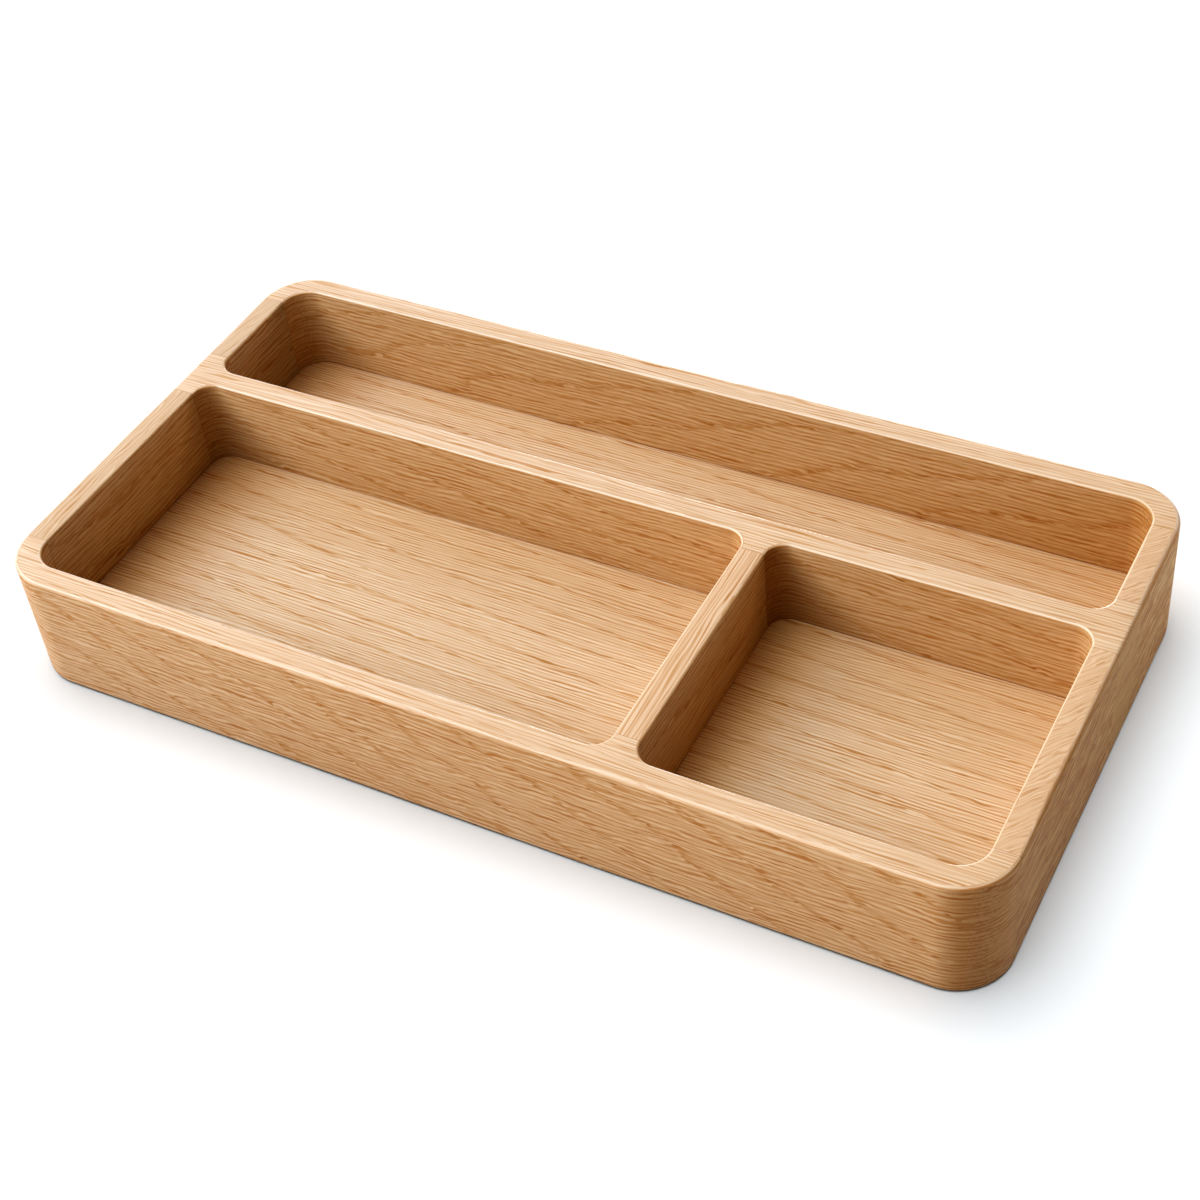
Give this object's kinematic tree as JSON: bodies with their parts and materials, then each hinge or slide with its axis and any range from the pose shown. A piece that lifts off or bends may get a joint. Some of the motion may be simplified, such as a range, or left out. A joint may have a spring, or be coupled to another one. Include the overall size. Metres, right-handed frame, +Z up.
{
  "type": "desk organizer tray",
  "caption": "Low round-cornered oak desk tray: a long pen pocket at the back, a wide pocket and a smaller note pocket in front, parted by thin dividers.",
  "frame": {"origin": "on the desk, under the middle of the tray", "axes": "+X along the tray towards the note pocket, +Y towards the pen pocket at the back, +Z up"},
  "size_m": [0.3, 0.155, 0.0405],
  "materials": {
    "oak": "oiled oak, satin, fine open pores",
    "beech": "bare beech dowel rod",
    "felt": "pressed wool felt"
  },
  "bodies": {
    "root": {"front_rail": "oak", "rear_rail": "oak", "centre_rail": "oak", "cross_divider": "oak", "left_front_side_rail": "oak", "left_rear_side_rail": "oak", "right_front_side_rail": "oak", "right_rear_side_rail": "oak", "base_panel": "oak", "dowel_cross_front_lower": "beech", "dowel_cross_front_upper": "beech", "dowel_cross_rear_lower": "beech", "dowel_cross_rear_upper": "beech", "dowel_left_front_corner_lower": "beech", "dowel_left_front_corner_upper": "beech", "dowel_left_centre_front_lower": "beech", "dowel_left_centre_front_upper": "beech", "dowel_left_centre_rear_lower": "beech", "dowel_left_centre_rear_upper": "beech", "dowel_left_rear_corner_lower": "beech", "dowel_left_rear_corner_upper": "beech", "dowel_right_front_corner_lower": "beech", "dowel_right_front_corner_upper": "beech", "dowel_right_centre_front_lower": "beech", "dowel_right_centre_front_upper": "beech", "dowel_right_centre_rear_lower": "beech", "dowel_right_centre_rear_upper": "beech", "dowel_right_rear_corner_lower": "beech", "dowel_right_rear_corner_upper": "beech", "felt_pad_front_left": "felt", "felt_pad_front_right": "felt", "felt_pad_rear_left": "felt", "felt_pad_rear_right": "felt"}
  },
  "joints": []
}
